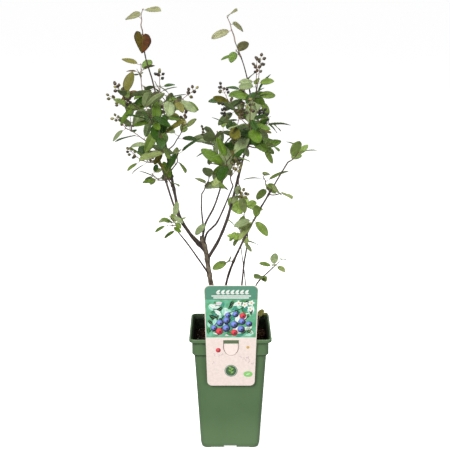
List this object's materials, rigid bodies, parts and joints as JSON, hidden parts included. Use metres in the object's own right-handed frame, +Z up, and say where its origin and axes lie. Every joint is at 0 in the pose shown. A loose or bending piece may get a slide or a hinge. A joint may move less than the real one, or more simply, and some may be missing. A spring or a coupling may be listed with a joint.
{
  "type": "serviceberry shrub in a nursery pot",
  "caption": "Young serviceberry shrub with thin stems, oval leaves and unripe berry clusters in a tall square green nursery pot of soil, with a picture label hooked on its rim.",
  "frame": {"origin": "centre of the pot's underside", "axes": "+Z up through the plant, -Y towards the front of the pot, where the label hangs"},
  "size_m": [0.3307, 0.2825, 0.7166],
  "materials": {
    "pot": "satin moulded green plastic",
    "soil": "moist dark brown potting mix with wood fibre and grit",
    "plant_label": "printed satin plastic card: green band, picture of berries, pale lower half",
    "trunk_bark": "smooth grey-brown bark with darker lengthwise stripes",
    "bough_bark": "dark red-brown young bark with pale pores",
    "foliage": "satin green leaves with paler undersides, young tips olive, berries unripe olive-brown"
  },
  "bodies": {
    "root": {"pot": "pot", "soil": "soil", "plant_label": "plant_label", "trunk": "trunk_bark", "left_bough": "bough_bark", "left_back_bough": "bough_bark", "low_left_bough": "bough_bark", "right_bough": "bough_bark", "middle_back_bough": "bough_bark", "middle_spur": "bough_bark", "middle_front_bough": "bough_bark", "right_stem": "bough_bark", "inner_stem": "bough_bark", "thin_shoot": "bough_bark", "low_shoot": "bough_bark", "left_leader": "foliage", "left_leader_leaf": "foliage", "left_second_leader": "foliage", "left_upper_fruit": "foliage", "left_outer_upper": "foliage", "left_inner_upper": "foliage", "left_outer": "foliage", "left_heart": "foliage", "left_inner": "foliage", "left_middle": "foliage", "left_low_inner": "foliage", "left_low_outer": "foliage", "left_low": "foliage", "left_low_front": "foliage", "low_left": "foliage", "fork_leaf": "foliage", "right_leader": "foliage", "right_leader_leaves": "foliage", "right_top_outer": "foliage", "right_top_inner": "foliage", "right_top_left": "foliage", "right_left_fruit": "foliage", "right_outer": "foliage", "right_outer_low": "foliage", "right_middle": "foliage", "middle_top": "foliage", "middle_front": "foliage", "middle_low": "foliage", "right_low": "foliage", "right_stem_top": "foliage", "right_stem_inner": "foliage", "right_stem_outer": "foliage", "right_stem_low": "foliage", "lone_leaf": "foliage", "inner_stem_top": "foliage", "inner_stem_middle": "foliage", "thin_shoot_top": "foliage", "low_shoot_top": "foliage", "low_shoot_leaf": "foliage", "corner_sucker": "foliage", "left_upper_back": "foliage", "left_back": "foliage", "right_back": "foliage", "middle_back": "foliage"}
  },
  "joints": []
}
